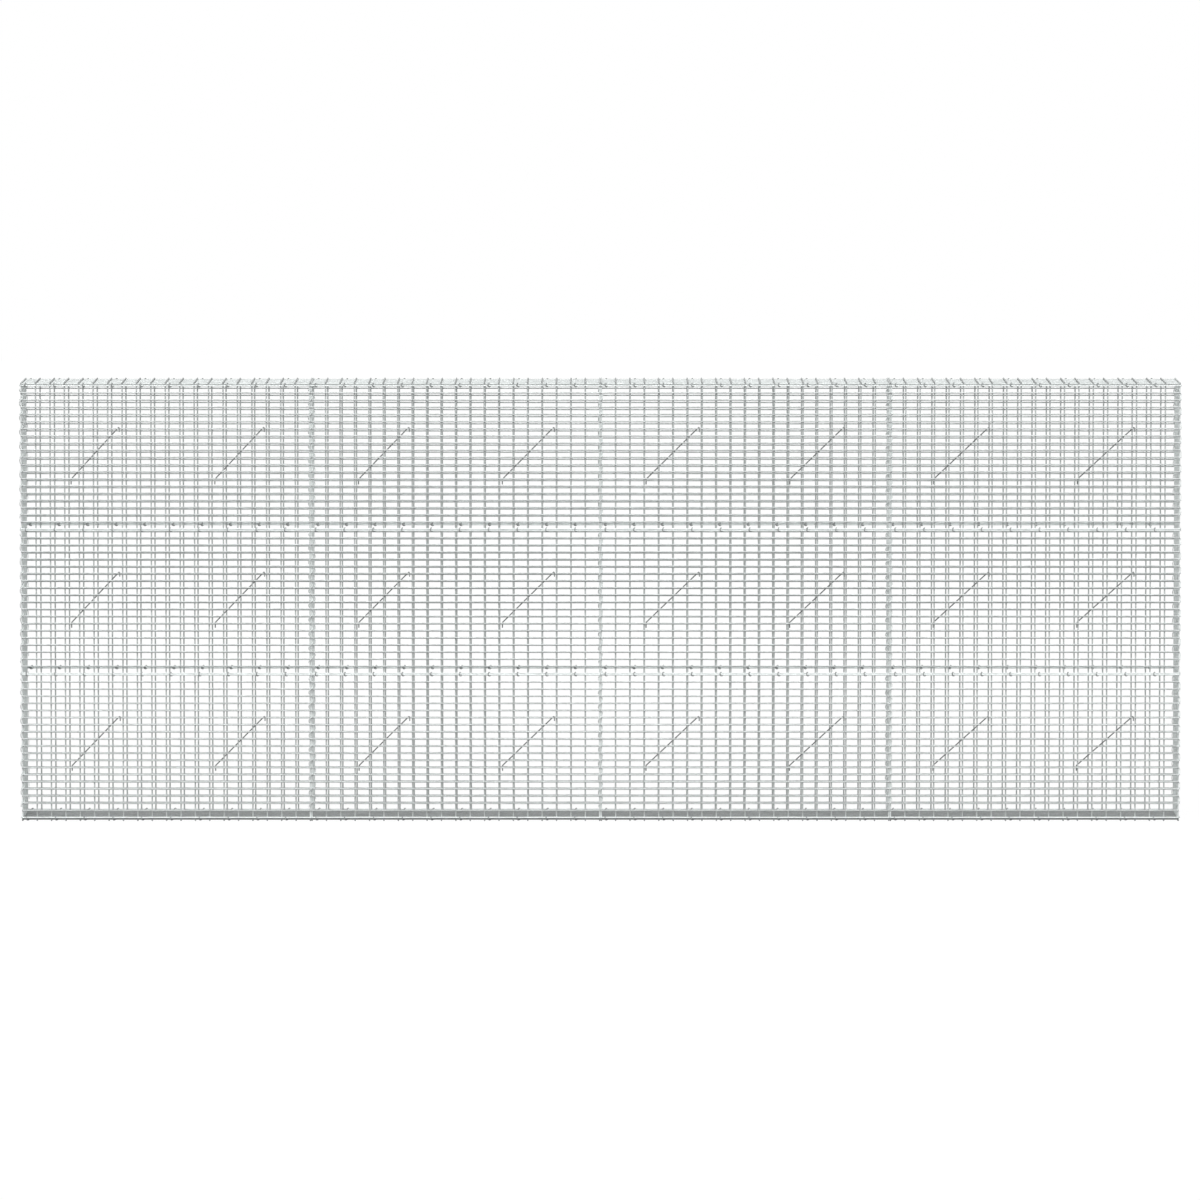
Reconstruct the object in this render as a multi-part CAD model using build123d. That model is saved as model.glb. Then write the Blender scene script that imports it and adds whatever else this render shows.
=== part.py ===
from build123d import *
import os

# A fence of empty welded-mesh baskets: four bays long, three rows high and one basket deep.
# Front, back and end panels stand on base panels, covers close the top, spirals bind the
# upright seams and hooked ties hold the front and back mesh apart.
# X runs along the fence, Y from front to back, Z up. The origin is on the floor at the centre.

# Driving dimensions, in millimetres
BAYS = 4
ROWS = 3
BAY_LENGTH = 1000.0
ROW_HEIGHT = 500.0
DEPTH = 300.0

WIRE = 5.0
CLOSE_PITCH = 25.0
WIDE_PITCH = 50.0
SIDE_GAP = 0.5
DAYLIGHT = 0.2

COIL_WIRE = 3.0
COIL_CLEARANCE = 0.05
COIL_SIDE_RISE = 6.0

TIE_WIRE = 4.0
TIE_PITCH = 500.0
TIE_RUN = 165.0
TIE_RISE = 8
TIE_CLEARANCE = 0.05
HOOK_DROP = 14.0

# Places that follow from them
PANEL = 2 * WIRE
PANEL_LENGTH = BAY_LENGTH - SIDE_GAP
FENCE_LENGTH = BAYS * BAY_LENGTH
FLOOR_TOP = PANEL
COVER_BOTTOM = FLOOR_TOP + ROWS * ROW_HEIGHT
END_WIDTH = DEPTH - 2 * (PANEL + SIDE_GAP)


def steps(span, pitch):
    """Number of spaces between wires that fill a span at about this pitch."""
    return round((span - WIRE) / pitch)


def spacing(span, pitch):
    """Exact centre distance of the wires that fill a span."""
    return (span - WIRE) / steps(span, pitch)


def block(low, high):
    """Square-cornered bar between two opposite corners."""
    centre = [(a + b) / 2 for a, b in zip(low, high)]
    size = [b - a for a, b in zip(low, high)]
    return Pos(*centre) * Box(*size)


def mesh_panel(length, height):
    """Welded panel. The close wires run along X and lie in front of the wide ones, which run along Z.

    Only the wires that cross on the rim are fused. Inside it the two layers keep a hairline of
    daylight, so that each panel stays one light solid with every wire at its true place.
    """
    close_step = spacing(height, CLOSE_PITCH)
    wide_step = spacing(length, WIDE_PITCH)
    close_count = steps(height, CLOSE_PITCH)
    wide_count = steps(length, WIDE_PITCH)
    bars = []
    for i in range(close_count + 1):
        z = i * close_step
        on_rim = i in (0, close_count)
        back = WIRE if on_rim else WIRE - DAYLIGHT
        bars.append(block((0, 0, z), (length, back, z + WIRE)))
        if not on_rim:
            for x in (0, length - WIRE):
                bars.append(block((x, back, z), (x + WIRE, WIRE, z + WIRE)))
    for i in range(wide_count + 1):
        x = i * wide_step
        bars.append(block((x, WIRE, 0), (x + WIRE, PANEL, height)))
    return bars[0].fuse(*bars[1:])


def place(panel, corner, along, up):
    """Stand a panel with its own corner, length and height directions in the fence."""
    return Plane(origin=corner, x_dir=along, z_dir=up).location * panel


def bay_start(bay):
    return -FENCE_LENGTH / 2 + bay * BAY_LENGTH + SIDE_GAP / 2


def row_start(row):
    return FLOOR_TOP + row * ROW_HEIGHT


def seam_coil(half_x, half_y):
    """Spiral that climbs one row round a pair of edge wires, one turn to two close wires.

    It crosses the close wires' layer in the middle of a mesh opening and passes over one wire
    at the front and one at the back.
    """
    turn = 2 * spacing(ROW_HEIGHT, CLOSE_PITCH)
    turns = steps(ROW_HEIGHT, CLOSE_PITCH) // 2 - 1
    reach = COIL_WIRE / 2 ** 0.5 + COIL_CLEARANCE
    x, y = half_x + reach, half_y + reach
    face_rise = turn / 2 - COIL_SIDE_RISE
    start = WIRE / 2 + 1.5 * spacing(ROW_HEIGHT, CLOSE_PITCH) + COIL_SIDE_RISE / 2
    points = []
    for i in range(turns):
        z = start + i * turn
        points += [
            (-x, -y, z),
            (x, -y, z + face_rise),
            (x, y, z + turn / 2),
            (-x, y, z + turn / 2 + face_rise),
        ]
    path = Polyline(*points)
    first = Vector(*points[1]) - Vector(*points[0])
    section = Plane(origin=points[0], x_dir=(0, 1, 0), z_dir=first) * Rectangle(COIL_WIRE, COIL_WIRE)
    return sweep(section, path=path, transition=Transition.RIGHT)


def tie():
    """Diagonal tie from a front close wire down to a back one, hooked over both."""
    close_step = spacing(ROW_HEIGHT, CLOSE_PITCH)
    front_wire = -DEPTH / 2 + WIRE / 2
    seat = WIRE / 2 + TIE_WIRE / 2 ** 0.5 + TIE_CLEARANCE
    drop = TIE_RISE * close_step
    inside = -front_wire - PANEL
    points = [
        (TIE_RUN / 2, front_wire - seat, seat - HOOK_DROP),
        (TIE_RUN / 2, front_wire - seat, seat),
        (TIE_RUN / 2, -inside, seat),
        (-TIE_RUN / 2, inside, seat - drop),
        (-TIE_RUN / 2, -front_wire + seat, seat - drop),
        (-TIE_RUN / 2, -front_wire + seat, seat - drop - HOOK_DROP),
    ]
    path = Polyline(*points)
    section = Plane(origin=points[0], x_dir=(1, 0, 0), z_dir=(0, 0, 1)) * Rectangle(TIE_WIRE, TIE_WIRE)
    return sweep(section, path=path, transition=Transition.RIGHT)


nodes = {}

side_panel = mesh_panel(PANEL_LENGTH, ROW_HEIGHT)
for row in range(ROWS):
    for bay in range(BAYS):
        left, bottom = bay_start(bay), row_start(row)
        label = f"row{row + 1}_bay{bay + 1}"
        nodes[f"front_panel_{label}"] = place(
            side_panel, (left, -DEPTH / 2, bottom), (1, 0, 0), (0, 0, 1)
        )
        nodes[f"back_panel_{label}"] = place(
            side_panel, (left + PANEL_LENGTH, DEPTH / 2, bottom), (-1, 0, 0), (0, 0, 1)
        )

# On the ends the close wires stand upright inside and the wide ones lie outside.
end_panel = mesh_panel(ROW_HEIGHT, END_WIDTH)
end_inside = -FENCE_LENGTH / 2 + SIDE_GAP / 2 + WIRE
for row in range(ROWS):
    for name, side in (("left", 1), ("right", -1)):
        corner = (side * end_inside, side * END_WIDTH / 2, row_start(row))
        nodes[f"{name}_end_row{row + 1}"] = place(end_panel, corner, (0, 0, 1), (0, -side, 0))

# Covers lie with their close wires down on the side panels, and the bases have theirs on top.
flat_panel = mesh_panel(PANEL_LENGTH, DEPTH)
for bay in range(BAYS):
    left = bay_start(bay)
    nodes[f"cover_bay{bay + 1}"] = place(
        flat_panel, (left, DEPTH / 2, COVER_BOTTOM), (1, 0, 0), (0, -1, 0)
    )
    nodes[f"base_bay{bay + 1}"] = place(
        flat_panel, (left, -DEPTH / 2, FLOOR_TOP), (1, 0, 0), (0, 1, 0)
    )

# Each upright seam has a spiral at the front and one at the back in every row.
mid_coil = seam_coil(WIRE + SIDE_GAP / 2, PANEL / 2)
corner_coil = seam_coil(WIRE / 2, (PANEL + SIDE_GAP + WIRE) / 2)
for seam in range(BAYS + 1):
    at_end = seam in (0, BAYS)
    coil = corner_coil if at_end else mid_coil
    x = -FENCE_LENGTH / 2 + seam * BAY_LENGTH
    y = DEPTH / 2 - PANEL / 2
    if at_end:
        x -= (SIDE_GAP + WIRE) / 2 * (1 if seam else -1)
        y = DEPTH / 2 - (PANEL + SIDE_GAP + WIRE) / 2
    copies = []
    for row in range(ROWS):
        z = row_start(row)
        copies.append(Pos(x, -y, z) * coil)
        copies.append(Pos(x, y, z) * Rot(0, 0, 180) * coil)
    nodes[f"seam_coils_{seam + 1}"] = Compound(children=copies)

one_tie = tie()
close_step = spacing(ROW_HEIGHT, CLOSE_PITCH)
tie_wire_no = (steps(ROW_HEIGHT, CLOSE_PITCH) + TIE_RISE) // 2
for row in range(ROWS):
    z = row_start(row) + WIRE / 2 + tie_wire_no * close_step
    count = round(FENCE_LENGTH / TIE_PITCH)
    xs = [-FENCE_LENGTH / 2 + (i + 0.5) * TIE_PITCH for i in range(count)]
    nodes[f"ties_row{row + 1}"] = Compound(children=[Pos(x, 0, z) * one_tie for x in xs])

os.makedirs("parts", exist_ok=True)
for name, shape in nodes.items():
    export_step(shape, f"parts/{name}.step")
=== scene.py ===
# %% [markdown]
# # A gabion fence, ready for its stone
# A gabion is a basket of welded steel mesh that is filled with stone. This one is empty. It
# stands four baskets long and three high, and every wire of it is round, so the fixed frame's
# square bars are replaced one for one: same panels, same pitches, same edges.

# %% Load the fixed frame
import math
import random

import bmesh
import bpy
from mathutils import Matrix, Vector


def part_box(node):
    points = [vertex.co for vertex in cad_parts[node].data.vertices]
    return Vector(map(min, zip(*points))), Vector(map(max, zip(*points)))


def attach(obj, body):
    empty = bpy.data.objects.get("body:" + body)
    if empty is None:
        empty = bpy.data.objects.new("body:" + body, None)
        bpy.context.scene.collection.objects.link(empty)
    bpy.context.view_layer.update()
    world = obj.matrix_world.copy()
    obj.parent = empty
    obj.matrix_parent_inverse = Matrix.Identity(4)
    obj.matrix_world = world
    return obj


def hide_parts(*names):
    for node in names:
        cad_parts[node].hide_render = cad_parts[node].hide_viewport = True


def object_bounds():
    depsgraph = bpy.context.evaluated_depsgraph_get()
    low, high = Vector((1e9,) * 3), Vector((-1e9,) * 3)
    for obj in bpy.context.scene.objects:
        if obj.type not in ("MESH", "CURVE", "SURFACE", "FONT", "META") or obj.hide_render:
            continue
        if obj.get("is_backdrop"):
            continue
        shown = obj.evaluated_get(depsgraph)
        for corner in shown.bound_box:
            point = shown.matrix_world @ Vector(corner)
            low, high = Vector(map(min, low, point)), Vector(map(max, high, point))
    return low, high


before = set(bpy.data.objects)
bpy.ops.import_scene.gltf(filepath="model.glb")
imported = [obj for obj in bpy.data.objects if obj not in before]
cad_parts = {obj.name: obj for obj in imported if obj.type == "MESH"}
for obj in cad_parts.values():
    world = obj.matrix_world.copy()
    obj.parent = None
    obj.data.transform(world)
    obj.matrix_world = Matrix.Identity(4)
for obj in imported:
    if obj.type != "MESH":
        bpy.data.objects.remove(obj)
cad_low, cad_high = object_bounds()
print("frame", [round(v, 3) for v in cad_high - cad_low])

# %% [markdown]
# ## Sizes
# The frame already knows how long and how high a panel is. What the eye adds is the wire: its
# roundness, how deep two wires sink into each other where they are welded, and how the cut ends
# are eased. The number of wires comes from the same pitches that the frame was drawn with.

# %% Wire sizes and pitches
MM = 0.001
WIRE = 5.0 * MM
CLOSE_PITCH = 25.0 * MM
WIDE_PITCH = 50.0 * MM
WELD_SINK = 0.5 * MM
CUT_EASE = 0.6 * MM
ROD_SIDES = 12

ROWS = 3
BAYS = 4
X_AXIS = Vector((1, 0, 0))
Y_AXIS = Vector((0, 1, 0))
Z_AXIS = Vector((0, 0, 1))


def places(span, pitch):
    """Centres of the wires that fill a span from edge to edge."""
    count = round((span - WIRE) / pitch)
    step = (span - WIRE) / count
    return [WIRE / 2 + i * step for i in range(count + 1)]


def span_of(node):
    """Length, depth and height of one piece of the frame."""
    low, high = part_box(node)
    return high - low


side_span = span_of("front_panel_row1_bay1")
end_span = span_of("left_end_row1")
flat_span = span_of("cover_bay1")
row_places = places(side_span.z, CLOSE_PITCH)
bay_places = places(side_span.x, WIDE_PITCH)
close_step = row_places[1] - row_places[0]
wide_step = bay_places[1] - bay_places[0]
print("wires in a side panel", len(row_places), len(bay_places))

# %% [markdown]
# ## A straight wire
# Straightened wire is cut to length by a shear, which leaves a flat end with a small burr that
# the zinc bath rounds over. A capped cylinder is the honest start, and a one-step bevel round
# each cap catches the light where the real cut does. Twelve sides with smooth shading are enough
# for a wire that is read mostly as a line. The edges of the bevel are marked sharp, or its slope
# would leak into the shading of the whole long wire.
#
# Each wire also says which of its panel's four coats it wears. In every panel the coats come in
# this order: close wires, weld beads, the wires on the panel's edge, wide wires.


# %% Straight wire
CLOSE, BEAD, EDGE, WIDE = range(4)


def faces_at(verts):
    """Every face that touches these points."""
    return {face for vert in verts for face in vert.link_faces}


def add_rod(bm, start, end, coat):
    """Round wire from one point to another, its two cut ends eased, in one of the coats."""
    along = end - start
    turn = along.to_track_quat("Z", "Y").to_matrix().to_4x4()
    made = bmesh.ops.create_cone(
        bm,
        cap_ends=True,
        segments=ROD_SIDES,
        radius1=WIRE / 2,
        radius2=WIRE / 2,
        depth=along.length,
        matrix=Matrix.Translation((start + end) / 2) @ turn,
    )
    faces = faces_at(made["verts"])
    caps = {face for face in faces if len(face.verts) == ROD_SIDES}
    for face in faces:
        face.material_index = coat
        face.smooth = face not in caps
    rims = list({edge for face in caps for edge in face.edges})
    eased = bmesh.ops.bevel(
        bm, geom=rims, offset=CUT_EASE, segments=1, profile=0.5, affect="EDGES", material=-1
    )
    for edge in {edge for face in eased["faces"] for edge in face.edges}:
        edge.smooth = False


def mesh_from(bm, name):
    """Hand a drawn shape over as a mesh."""
    mesh = bpy.data.meshes.new(name)
    bm.to_mesh(mesh)
    bm.free()
    return mesh


# %% [markdown]
# ## A weld
# The mesh is resistance-welded: two crossing wires are squeezed between electrodes until they
# melt into each other, and a little metal is pushed out round the joint. A small flattened ball
# in the notch between the wires gives that rim of metal. Each is turned and stretched a little
# by a seeded draw, because no two welds are alike.

# %% Weld bead
BEAD_RADIUS = 3.6 * MM
BEAD_FLATNESS = 0.5
BEAD_SPREAD = (0.9, 1.12)
dice = random.Random(4)


def add_bead(bm, at):
    """Flattened ball of weld metal in the notch between two wires."""
    size = dice.uniform(*BEAD_SPREAD)
    shape = Matrix.Diagonal((size, BEAD_FLATNESS * size, dice.uniform(*BEAD_SPREAD), 1))
    turn = Matrix.Rotation(dice.uniform(0, math.pi), 4, "Y")
    made = bmesh.ops.create_icosphere(
        bm, subdivisions=1, radius=BEAD_RADIUS, matrix=Matrix.Translation(at) @ turn @ shape
    )
    for face in faces_at(made["verts"]):
        face.material_index = BEAD
        face.smooth = True


# %% [markdown]
# ## A welded panel
# One panel is drawn in its own corner: the close wires run along X in front, the wide ones run
# up Z behind them. A Blender array would be quicker to type, but a loop over the wire centres
# keeps each wire on the place that the frame gives it, and lets every crossing get its own weld.


# %% Welded panel
def welded_panel(name, length, height):
    """Panel with its close wires along X, its wide wires along Z and a bead at each crossing."""
    bm = bmesh.new()
    front = WIRE / 2
    behind = front + WIRE - WELD_SINK
    close = places(height, CLOSE_PITCH)
    wide = places(length, WIDE_PITCH)
    for z in close:
        coat = EDGE if z in (close[0], close[-1]) else CLOSE
        add_rod(bm, Vector((0, front, z)), Vector((length, front, z)), coat)
    for x in wide:
        coat = EDGE if x in (wide[0], wide[-1]) else WIDE
        add_rod(bm, Vector((x, behind, 0)), Vector((x, behind, height)), coat)
    for z in close:
        for x in wide:
            add_bead(bm, Vector((x, (front + behind) / 2, z)))
    return mesh_from(bm, name)


side_mesh = welded_panel("side_panel", side_span.x, side_span.z)
end_mesh = welded_panel("end_panel", end_span.z, end_span.y)
flat_mesh = welded_panel("flat_panel", flat_span.x, flat_span.y)
print("faces in a side panel", len(side_mesh.polygons))

# %% [markdown]
# ## The galvanised finish
# The wire is drawn from zinc-coated steel. New zinc is bright and a little streaked, then it
# dulls in cloudy patches to a light grey. The patches differ over a hand's width, the grain
# within them over a millimetre. Both come from noise on Object coordinates, so no two panels
# look the same although they share one shape. Shader maths is kept readable by a small class
# that turns Python sums into Math nodes.


# %% Shader maths as Python sums
class Signal:
    """A shader socket that can be added, taken away, multiplied and clamped in Python."""

    def __init__(self, finish, socket):
        self.finish = finish
        self.socket = socket

    def combine(self, operation, first, second, clamp=False):
        """Math node of two values or Signals."""
        settings = {"operation": operation, "use_clamp": clamp}
        return self.finish.node("ShaderNodeMath", settings, {0: first, 1: second})["Value"]

    def __add__(self, other):
        return self.combine("ADD", self, other)

    def __sub__(self, other):
        return self.combine("SUBTRACT", self, other)

    def __rsub__(self, other):
        return self.combine("SUBTRACT", other, self)

    def __mul__(self, other):
        return self.combine("MULTIPLY", self, other)

    def clamped(self):
        """The same value, kept between 0 and 1."""
        return self.combine("ADD", self, 0.0, clamp=True)


class Outputs:
    """A node's outputs, each read by name as a Signal."""

    def __init__(self, finish, made):
        self.finish = finish
        self.made = made

    def __getitem__(self, name):
        return Signal(self.finish, self.made.outputs[name])


class Finish:
    """A node tree that grows by one method."""

    def __init__(self, tree):
        self.tree = tree
        tree.nodes.clear()

    def node(self, kind, settings=None, inputs=None):
        """Add a node, set its settings, then feed its sockets with values or Signals."""
        made = self.tree.nodes.new(kind)
        for key, value in (settings or {}).items():
            setattr(made, key, value)
        for key, value in (inputs or {}).items():
            if isinstance(value, Signal):
                self.tree.links.new(value.socket, made.inputs[key])
            else:
                made.inputs[key].default_value = value
        return Outputs(self, made)

    def blend(self, factor, low, high):
        """Mix two colours by a factor."""
        node = self.node("ShaderNodeMix", {"data_type": "RGBA"}, {0: factor, 6: low, 7: high})
        return Signal(self, node.made.outputs[2])


def grey(value):
    """Plain grey of this brightness."""
    return (value, value, value, 1)


# %% [markdown]
# ## One zinc, several tones
# Three patterns lie over each other: clouds, the crystal spangle of the zinc bath, and a fine
# grain. Together they say how far a spot has dulled, and that moves both its colour and its
# roughness. Grain and spangle also give a slight relief.
#
# The real mesh most likely has one coat throughout. Here the edge wires, the ends, the covers,
# the covers' cross wires, the bases, the spirals, the ties and the clips each have a tone of their
# own, matched to how light or dark they look from the front. These tones are painted light and
# shade, not metal: the edge wires, the ends and the spirals are lighter where wires shade one
# another, and the covers, their cross wires, the bases, the bases' edge wires, the ties and the
# clips are darker with painted shade. They are the first thing to even out when the fence is lit
# in another way.

# %% Zinc
CLOUD_SCALE = 14.0
CLOUD_DETAIL = 3.0
SPANGLE_SCALE = 260.0
GRAIN_SCALE = 1500.0
GRAIN_DETAIL = 2.0
NOISE_ROUGHNESS = 0.55
CLOUD_DULLS = 0.9
SPANGLE_DULLS = 0.5
GRAIN_DULLS = 0.6
GRAIN_RISES = 0.7
SPANGLE_RISES = 0.3
RELIEF_DEPTH = 0.4 * MM
SHEEN = 0.15
TINT = (0.955, 1.0, 0.992)


def tinted(value):
    """Grey of this brightness with the faint green cast of zinc."""
    return (value * TINT[0], value * TINT[1], value * TINT[2], 1)


def zinc(name, bright, dull, metallic, glossy, matt, bump):
    """Zinc coat that drifts between a brighter, glossier grey and a duller, rougher one."""
    material = bpy.data.materials.new(name)
    material.use_nodes = True
    finish = Finish(material.node_tree)
    where = finish.node("ShaderNodeTexCoord")["Object"]

    def noise(scale, detail):
        sockets = {"Vector": where, "Scale": scale, "Detail": detail, "Roughness": NOISE_ROUGHNESS}
        return finish.node("ShaderNodeTexNoise", {}, sockets)["Fac"]

    cloud = noise(CLOUD_SCALE, CLOUD_DETAIL)
    sockets = {"Vector": where, "Scale": SPANGLE_SCALE}
    cells = finish.node("ShaderNodeTexVoronoi", {}, sockets)["Color"]
    spangle = finish.node("ShaderNodeSeparateColor", {}, {"Color": cells})["Red"]
    grain = noise(GRAIN_SCALE, GRAIN_DETAIL)
    dulled = (cloud - 0.5) * CLOUD_DULLS + 0.5
    dulled = dulled + (spangle - 0.5) * SPANGLE_DULLS
    dulled = dulled + (grain - 0.5) * GRAIN_DULLS
    dulled = dulled.clamped()
    height = grain * GRAIN_RISES + spangle * SPANGLE_RISES
    sockets = {"Strength": bump, "Distance": RELIEF_DEPTH, "Height": height}
    relief = finish.node("ShaderNodeBump", {}, sockets)["Normal"]
    sockets = {
        "Base Color": finish.blend(dulled, tinted(bright), tinted(dull)),
        "Metallic": metallic,
        "Roughness": dulled * (matt - glossy) + glossy,
        "Normal": relief,
        "Specular IOR Level": SHEEN,
    }
    shader = finish.node("ShaderNodeBsdfPrincipled", {}, sockets)["BSDF"]
    finish.node("ShaderNodeOutputMaterial", {}, {"Surface": shader})
    return material


# The numbers are: bright, dull, metallic, glossy, matt, bump.
mesh_zinc = zinc("mesh_zinc", 0.56, 0.40, 0.35, 0.36, 0.55, 0.4)
# Edge wires: lighter copy of the zinc, painted light where paired wires at the seams shade each
# other.
edge_zinc_painted_light = zinc("edge_zinc_painted_light", 0.78, 0.62, 0.35, 0.36, 0.55, 0.4)
# End panels: lighter copy of the zinc, painted light against the shade that their rows of uprights
# cast on one another.
end_zinc_painted_light = zinc("end_zinc_painted_light", 0.86, 0.70, 0.35, 0.36, 0.55, 0.4)
# Covers: slightly darker copy of the zinc, painted shade matched to how the light from above falls on
# them.
cover_zinc_painted_shade = zinc("cover_zinc_painted_shade", 0.54, 0.39, 0.35, 0.36, 0.55, 0.4)
# Covers' cross wires: darker copy of the zinc, painted shade on wires that the lamps light from
# above.
cross_zinc_painted_shade = zinc("cross_zinc_painted_shade", 0.34, 0.24, 0.35, 0.4, 0.58, 0.35)
# Bases: darker copy of the zinc, painted shade where the walls and cover keep light off the bases.
base_zinc_painted_shade = zinc("base_zinc_painted_shade", 0.36, 0.25, 0.3, 0.46, 0.62, 0.4)
# Base edge wires: dark copy of the zinc, painted shadow under the lowest wires at the front and back
# of the bases.
base_edge_painted_shadow = zinc("base_edge_painted_shadow", 0.20, 0.12, 0.3, 0.46, 0.62, 0.4)
weld_zinc = zinc("weld_zinc", 0.42, 0.30, 0.3, 0.46, 0.64, 0.5)
# Spirals: lighter copy of the zinc, painted light against the shade in the seams.
spiral_zinc_painted_light = zinc("spiral_zinc_painted_light", 0.80, 0.66, 0.3, 0.34, 0.48, 0.3)
# Ties: dark copy of the zinc, painted shade standing in for the shaded side of each tie.
tie_zinc_painted_shade = zinc("tie_zinc_painted_shade", 0.28, 0.17, 0.4, 0.3, 0.45, 0.25)
# Ring clips: darker copy of the zinc, painted shade standing in for the shaded underside of each
# clip.
clip_zinc_painted_shade = zinc("clip_zinc_painted_shade", 0.38, 0.27, 0.4, 0.36, 0.5, 0.25)

# Each panel's coats: close wires, weld beads, edge wires, wide wires.
SIDE_COATS = [mesh_zinc, weld_zinc, edge_zinc_painted_light, mesh_zinc]
END_COATS = [end_zinc_painted_light, weld_zinc, edge_zinc_painted_light, end_zinc_painted_light]
COVER_COATS = [cover_zinc_painted_shade, weld_zinc, cover_zinc_painted_shade, cross_zinc_painted_shade]
BASE_COATS = [base_zinc_painted_shade, weld_zinc, base_edge_painted_shadow, base_zinc_painted_shade]
print("coats", len(bpy.data.materials))

# %% [markdown]
# ## Set out the panels
# Every panel in the fence is one of three shapes, stood up in its own way. A corner, a length
# direction and a height direction say how, as they would to someone who carries the panel. The
# copy's mesh is moved and its object stays at the origin, so patterns and exports stay in step.


# %% Stand a shape in the fence
def stance(corner, along, up):
    """Matrix that stands a panel with its corner, its length and its height as given."""
    depth = up.cross(along)
    turn = Matrix((along, depth, up)).transposed().to_4x4()
    return Matrix.Translation(corner) @ turn


def show(name, mesh, materials, node):
    """Make a piece that moves with the fence and stands for a frame node, if one is given."""
    for material in materials:
        mesh.materials.append(material)
    piece = bpy.data.objects.new(name, mesh)
    bpy.context.scene.collection.objects.link(piece)
    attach(piece, "root")
    if node:
        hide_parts(node)


def stand_panel(node, shape, coats, corner, along, up):
    """Copy a panel shape to the place of one frame node."""
    mesh = shape.copy()
    mesh.transform(stance(corner, along, up))
    show(node + "_wires", mesh, coats, node)


# %% Front, back, ends, covers and bases
for row in range(1, ROWS + 1):
    for bay in range(1, BAYS + 1):
        node = f"front_panel_row{row}_bay{bay}"
        low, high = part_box(node)
        stand_panel(node, side_mesh, SIDE_COATS, low, X_AXIS, Z_AXIS)
        node = f"back_panel_row{row}_bay{bay}"
        low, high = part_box(node)
        corner = Vector((high.x, high.y, low.z))
        stand_panel(node, side_mesh, SIDE_COATS, corner, -X_AXIS, Z_AXIS)
    for side, name in ((1, "left"), (-1, "right")):
        node = f"{name}_end_row{row}"
        low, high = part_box(node)
        inside = high.x if side == 1 else low.x
        start = high.y if side == 1 else low.y
        corner = Vector((inside, start, low.z))
        stand_panel(node, end_mesh, END_COATS, corner, Z_AXIS, -side * Y_AXIS)

for bay in range(1, BAYS + 1):
    node = f"cover_bay{bay}"
    low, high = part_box(node)
    corner = Vector((low.x, high.y, low.z))
    stand_panel(node, flat_mesh, COVER_COATS, corner, X_AXIS, -Y_AXIS)
    node = f"base_bay{bay}"
    low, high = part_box(node)
    corner = Vector((low.x, low.y, high.z))
    stand_panel(node, flat_mesh, BASE_COATS, corner, X_AXIS, Y_AXIS)

print("panels", 2 * ROWS * BAYS, "ends", 2 * ROWS, "covers and bases", 2 * BAYS)

# %% [markdown]
# ## Bent wires
# Spirals, ties and clips are bent on a wire former, which pushes wire straight out or rolls it
# round a peg. The same two moves build them here: a ring of edges is extruded to run straight,
# and spun about a peg to bend. A spin with a rise is a turn of a spring. The ring starts square
# to the wire's heading, so the wire keeps its full thickness on a steep turn.


# %% Wire former
def edges_in(items):
    """The edges among a mix of points, edges and faces."""
    return [item for item in items if isinstance(item, bmesh.types.BMEdge)]


class BentWire:
    """Round wire that is run out and bent from a starting point."""

    def __init__(self, start, heading, diameter, sides):
        self.bm = bmesh.new()
        self.point = start.copy()
        self.heading = heading.normalized()
        square_on = self.heading.to_track_quat("Z", "Y").to_matrix().to_4x4()
        ring = bmesh.ops.create_circle(
            self.bm, segments=sides, radius=diameter / 2, matrix=Matrix.Translation(start) @ square_on
        )
        self.first = list({edge for vert in ring["verts"] for edge in vert.link_edges})
        self.rim = self.first

    def run(self, distance):
        """Push the wire straight out."""
        grown = bmesh.ops.extrude_edge_only(self.bm, edges=self.rim)["geom"]
        self.rim = [edge for edge in edges_in(grown) if len(edge.link_faces) == 1]
        ring = list({vert for edge in self.rim for vert in edge.verts})
        bmesh.ops.translate(self.bm, verts=ring, vec=self.heading * distance)
        self.point = self.point + self.heading * distance

    def bend(self, angle, radius, axis, steps, rise=0.0):
        """Roll the wire round a peg that lies on its inner side, and lift it by the rise."""
        peg = self.point + axis.cross(self.heading).normalized() * radius
        lift = axis * rise / steps
        turned = bmesh.ops.spin(
            self.bm, geom=self.rim, cent=peg, axis=axis, dvec=lift, angle=angle, steps=steps
        )
        self.rim = edges_in(turned["geom_last"])
        swing = Matrix.Rotation(angle, 3, axis)
        self.point = peg + swing @ (self.point - peg) + axis * rise
        self.heading = swing @ self.heading

    def shape(self, name):
        """Close both ends, keep their edges sharp and hand over the mesh."""
        for rim in (self.first, self.rim):
            bmesh.ops.edgeloop_fill(self.bm, edges=rim)
        bmesh.ops.recalc_face_normals(self.bm, faces=self.bm.faces)
        for face in self.bm.faces:
            face.smooth = len(face.verts) == 4
        for edge in {edge for face in self.bm.faces if not face.smooth for edge in face.edges}:
            edge.smooth = False
        return mesh_from(self.bm, name)


def gathered(name, shapes):
    """One mesh from many (shape, matrix) pairs."""
    bm = bmesh.new()
    for shape, matrix in shapes:
        copy = shape.copy()
        copy.transform(matrix)
        bm.from_mesh(copy)
        bpy.data.meshes.remove(copy)
    return mesh_from(bm, name)


# %% [markdown]
# ## Spirals
# A spiral is screwed down over the two edge wires at an upright seam, one turn to every second
# close wire, so that it slips through the mesh halfway between them. At a corner the two edge
# wires lie one behind the other, and each turn is drawn out: two half turns with short straight
# passes between them.

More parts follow.
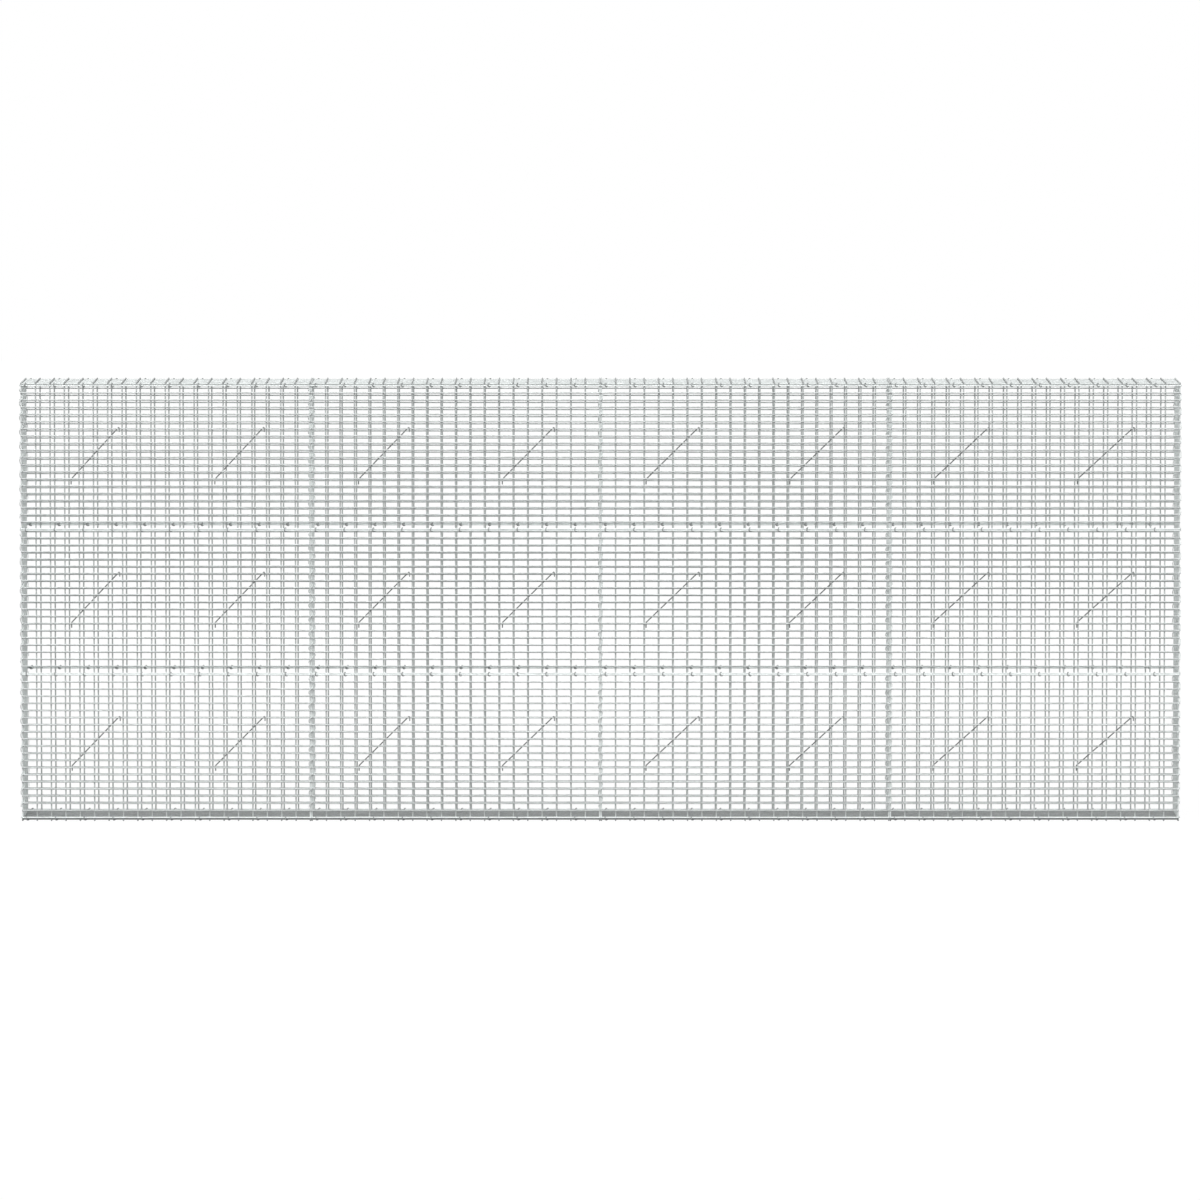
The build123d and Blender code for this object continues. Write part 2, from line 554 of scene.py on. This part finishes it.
# %% One spiral for the seams and one for the corners
SPIRAL_WIRE = 2.4 * MM
SPIRAL_SIDES = 8
HALF_TURN_STEPS = 9
MID_RADIUS = 7.6 * MM
CORNER_RADIUS = 5.8 * MM
CORNER_STRAIGHT = 7.4 * MM
turns = (len(row_places) - 1) // 2 - 1
first_pass = row_places[1] + close_step / 2


def spiral(radius, straight):
    """Spiral of one row, from its left side round by the front, with straight passes in each turn."""
    climb = 2 * close_step / (math.tau * radius + 2 * straight)
    start = Vector((-radius, 0, first_pass))
    wire = BentWire(start, Vector((0, -1, climb)), SPIRAL_WIRE, SPIRAL_SIDES)
    half_pass = straight / 2 * math.hypot(1, climb)
    for half_turn in range(2 * turns):
        if straight:
            wire.run(half_pass)
        wire.bend(math.pi, radius, Z_AXIS, HALF_TURN_STEPS, rise=climb * math.pi * radius)
        if straight:
            wire.run(half_pass)
    return wire.shape("spiral")


mid_spiral = spiral(MID_RADIUS, 0)
corner_spiral = spiral(CORNER_RADIUS, CORNER_STRAIGHT)
print("faces in a spiral", len(mid_spiral.polygons), len(corner_spiral.polygons))

# %% Spirals in every row, front and back
row_bottoms = [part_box(f"front_panel_row{row}_bay1")[0].z for row in range(1, ROWS + 1)]
front_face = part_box("front_panel_row1_bay1")[0].y
mesh_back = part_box("front_panel_row1_bay1")[1].y
end_wire_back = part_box("left_end_row1")[0].y + WIRE
half_round = Matrix.Rotation(math.pi, 4, "Z")
for seam in range(1, BAYS + 2):
    node = f"seam_coils_{seam}"
    low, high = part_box(node)
    at_corner = seam in (1, BAYS + 1)
    shape = corner_spiral if at_corner else mid_spiral
    inner_face = end_wire_back if at_corner else mesh_back
    x = (low.x + high.x) / 2
    y = (front_face + inner_face) / 2
    copies = []
    for z in row_bottoms:
        copies.append((shape, Matrix.Translation((x, y, z))))
        copies.append((shape, Matrix.Translation((x, -y, z)) @ half_round))
    show(node + "_wires", gathered(node, copies), [spiral_zinc_painted_light], node)

# %% [markdown]
# ## Ties
# Stone pushes the front and the back of a basket apart, so hooked wires tie them across. Each
# tie hangs over one close wire at the front, crosses the basket on a straight slant, which takes
# it through the openings, and hangs over a lower one at the back. It is bent from its corner
# points: the wire runs to just short of each corner, and a bend of the peg's radius takes it
# into the next leg.

# %% Ties
TIE_WIRE = 4.0 * MM
TIE_SIDES = 10
TIE_PEG = 4.5 * MM
TIE_BEND_STEPS = 5
TIE_PITCH = 500.0 * MM
TIE_FALL = 8
TIE_LIFT = 3.0 * MM
HOOK = 14.0 * MM
low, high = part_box("ties_row1")
tie_count = round((high.x - low.x) / TIE_PITCH + 0.5)
tie_run = (high.x - low.x - TIE_WIRE) - (tie_count - 1) * TIE_PITCH
wire_y = front_face + WIRE / 2


def bent_along(corners, diameter, radius, sides, steps):
    """Wire through corner points, with a bend at each inner one."""
    wire = BentWire(corners[0], corners[1] - corners[0], diameter, sides)
    for corner, after in zip(corners[1:], corners[2:]):
        ahead = (after - corner).normalized()
        angle = wire.heading.angle(ahead)
        axis = wire.heading.cross(ahead).normalized()
        wire.run((corner - wire.point).length - radius * math.tan(angle / 2))
        wire.bend(angle, radius, axis, steps)
    wire.run((corners[-1] - wire.point).length)
    return wire


def tie():
    """Tie about the middle of the basket, its front wire at height 0, straight between its hooks."""
    seat = (WIRE + TIE_WIRE) / 2
    fall = -TIE_FALL * close_step
    outside = wire_y - seat
    inside = wire_y + 2 * WIRE
    x = tie_run / 2 * outside / inside
    corners = [
        Vector((x, outside, TIE_LIFT - HOOK)),
        Vector((x, outside, seat + TIE_LIFT)),
        Vector((-x, -outside, seat + fall)),
        Vector((-x, -outside, fall - HOOK)),
    ]
    return bent_along(corners, TIE_WIRE, TIE_PEG, TIE_SIDES, TIE_BEND_STEPS).shape("tie")


one_tie = tie()
print("tie span", tie_run, "faces", len(one_tie.polygons))
tie_hangs_on = (len(row_places) - 1 + TIE_FALL) // 2
tie_xs = [(i - (tie_count - 1) / 2) * TIE_PITCH for i in range(tie_count)]
for row, bottom in zip(range(1, ROWS + 1), row_bottoms):
    z = bottom + row_places[tie_hangs_on]
    shapes = [(one_tie, Matrix.Translation((x, 0, z))) for x in tie_xs]
    node = f"ties_row{row}"
    show(node + "_wires", gathered(node, shapes), [tie_zinc_painted_shade], node)

# %% [markdown]
# ## Ring clips
# Level seams are closed with C-rings, squeezed shut with pliers round two wires at a time: row
# to row, cover to front and front to base. A squeezed ring never meets end to end. It closes
# like a short spring, one end beside the other, and the pliers leave it leaning sideways, which
# is why it looks wider than its wire. It is repeated many times, so its wire has five sides and
# few steps.

# %% Ring clips
CLIP_WIRE = 3.0 * MM
CLIP_SIDES = 5
CLIP_STEPS = 4
CLIP_RADIUS = 4.1 * MM
CLIP_STRAIGHT = 5.2 * MM
CLIP_SHIFT = 2.3 * MM
CLIP_SLANT = 0.8
CLIP_LEAN = 0.1
CLIP_FIRST = 19.0 * MM
CLIPS_PER_BAY = 10


def ring_clip():
    """Squeezed ring about the X axis that starts and ends at the back, inside the basket."""
    start = Vector((-CLIP_SHIFT, CLIP_RADIUS, -CLIP_STRAIGHT / 2))
    wire = BentWire(start, Z_AXIS, CLIP_WIRE, CLIP_SIDES)
    wire.run(CLIP_STRAIGHT)
    for half in range(2):
        wire.bend(math.pi, CLIP_RADIUS, X_AXIS, CLIP_STEPS, rise=CLIP_SHIFT)
        wire.run(CLIP_STRAIGHT)
    mesh = wire.shape("ring_clip")
    slant = Matrix.Identity(4)
    slant[0][1] = CLIP_SLANT
    mesh.transform(slant)
    return mesh


one_clip = ring_clip()
print("faces in a ring clip", len(one_clip.polygons))
clip_step = 2 * wide_step
seam_heights = row_bottoms + [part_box("cover_bay1")[0].z]
seam_names = ["base", "row1_row2", "row2_row3", "cover"]
for name, z in zip(seam_names, seam_heights):
    shapes = []
    for bay in range(1, BAYS + 1):
        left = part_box(f"front_panel_row1_bay{bay}")[0].x
        for i in range(CLIPS_PER_BAY):
            x = left + CLIP_FIRST + i * clip_step
            lean = Matrix.Rotation(dice.uniform(-CLIP_LEAN, CLIP_LEAN), 4, "Z")
            shapes.append((one_clip, Matrix.Translation((x, wire_y, z)) @ lean))
            lean = Matrix.Rotation(math.pi + dice.uniform(-CLIP_LEAN, CLIP_LEAN), 4, "Z")
            shapes.append((one_clip, Matrix.Translation((x, -wire_y, z)) @ lean))
    show(f"ring_clips_{name}", gathered(name, shapes), [clip_zinc_painted_shade], None)

# %% [markdown]
# ## Floor
# The fence stands on a plain floor that looks white to the camera and keeps a part of the
# fence's shadow. What it throws back onto the wires is the light of a dark grey floor, so that
# their undersides stay darker than their tops.

# %% Floor
FLOOR_SIZE = 60.0
FLOOR_GREY = 0.1
FLOOR_SEEN = 0.75
FLOOR_GLOW = 1.3


def as_seen(finish):
    """1 where the camera or a reflection looks, 0 for the light that falls on the object."""
    path = finish.node("ShaderNodeLightPath")
    return (path["Is Camera Ray"] + path["Is Glossy Ray"] + path["Is Transmission Ray"]).clamped()


def plain_floor():
    """Large flat square, part dull grey and part its own white where it is seen."""
    bm = bmesh.new()
    bmesh.ops.create_grid(bm, x_segments=1, y_segments=1, size=FLOOR_SIZE / 2)
    mesh = mesh_from(bm, "floor")
    floor = bpy.data.objects.new("floor", mesh)
    bpy.context.scene.collection.objects.link(floor)
    material = bpy.data.materials.new("floor_white")
    material.use_nodes = True
    finish = Finish(material.node_tree)
    matt = finish.node("ShaderNodeBsdfDiffuse", {}, {"Color": grey(FLOOR_GREY)})["BSDF"]
    sockets = {"Color": grey(1.0), "Strength": FLOOR_GLOW}
    white = finish.node("ShaderNodeEmission", {}, sockets)["Emission"]
    sockets = {0: as_seen(finish) * FLOOR_SEEN, 1: matt, 2: white}
    mixed = finish.node("ShaderNodeMixShader", {}, sockets)["Shader"]
    finish.node("ShaderNodeOutputMaterial", {}, {"Surface": mixed})
    mesh.materials.append(material)
    floor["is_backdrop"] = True


plain_floor()

# %% [markdown]
# ## Light
# A studio lights thin wire from broad sources, because a small lamp would draw one hard glint
# along every wire. The sky is soft, brightest overhead and dark below the horizon. A key lamp
# from above and two weaker ones from the front's left and right give each wire a lit face.

# %% World and lamps
SKY_HIGH = 0.95
SKY_EDGE = 0.12


def plain_world():
    """Soft light that fades from overhead to below the horizon, and plain white where it is seen."""
    world = bpy.data.worlds.new("studio")
    world.use_nodes = True
    bpy.context.scene.world = world
    finish = Finish(world.node_tree)
    direction = finish.node("ShaderNodeTexCoord")["Generated"]
    upward = finish.node("ShaderNodeSeparateXYZ", {}, {"Vector": direction})["Z"]
    soft_light = (upward + SKY_EDGE).clamped() * SKY_HIGH
    seen = as_seen(finish)
    strength = seen + (1 - seen) * soft_light
    sockets = {"Color": grey(1.0), "Strength": strength}
    sky = finish.node("ShaderNodeBackground", {}, sockets)["Background"]
    finish.node("ShaderNodeOutputWorld", {}, {"Surface": sky})


def soft_sun(name, towards, strength, spread):
    """Broad lamp whose light travels in the direction given. Its spread is in degrees."""
    data = bpy.data.lights.new(name, "SUN")
    data.energy = strength
    data.angle = math.radians(spread)
    lamp = bpy.data.objects.new(name, data)
    lamp.rotation_euler = Vector(towards).to_track_quat("-Z", "Y").to_euler()
    bpy.context.scene.collection.objects.link(lamp)


plain_world()
soft_sun("key_lamp", towards=(0.1, 0.5, -0.85), strength=2.4, spread=30)
soft_sun("left_lamp", towards=(0.7, 0.7, -0.15), strength=1.0, spread=50)
soft_sun("right_lamp", towards=(-0.7, 0.7, -0.15), strength=1.0, spread=50)

# %% [markdown]
# ## Camera
# The camera stands far off, a little above the top of the fence, so that the front and the back
# mesh nearly coincide. Its lens is set so that the given width fills the frame at the front mesh.

# %% Camera
VIEW_WIDTH = 4.142
VIEW_DISTANCE = 35.0
EYE_HEIGHT = 3.44
AIM_LEFT = 0.0016
AIM_UP = 0.0070
SENSOR = 36.0
FAR_CLIP = 500.0

aim = Vector((-AIM_LEFT, front_face, (cad_low.z + cad_high.z) / 2 + AIM_UP))
camera_data = bpy.data.cameras.new("camera")
camera = bpy.data.objects.new("camera", camera_data)
camera.location = Vector((aim.x, front_face - VIEW_DISTANCE, EYE_HEIGHT))
camera.rotation_euler = (aim - camera.location).to_track_quat("-Z", "Y").to_euler()
camera_data.sensor_width = SENSOR
camera_data.lens = SENSOR * (aim - camera.location).length / VIEW_WIDTH
camera_data.clip_end = FAR_CLIP
bpy.context.scene.collection.objects.link(camera)
bpy.context.scene.camera = camera
bpy.context.scene.view_settings.view_transform = "Standard"
print("lens", round(camera_data.lens, 1))

# %% Measure and finish
low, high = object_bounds()
print("visual", [round(v, 4) for v in high - low])
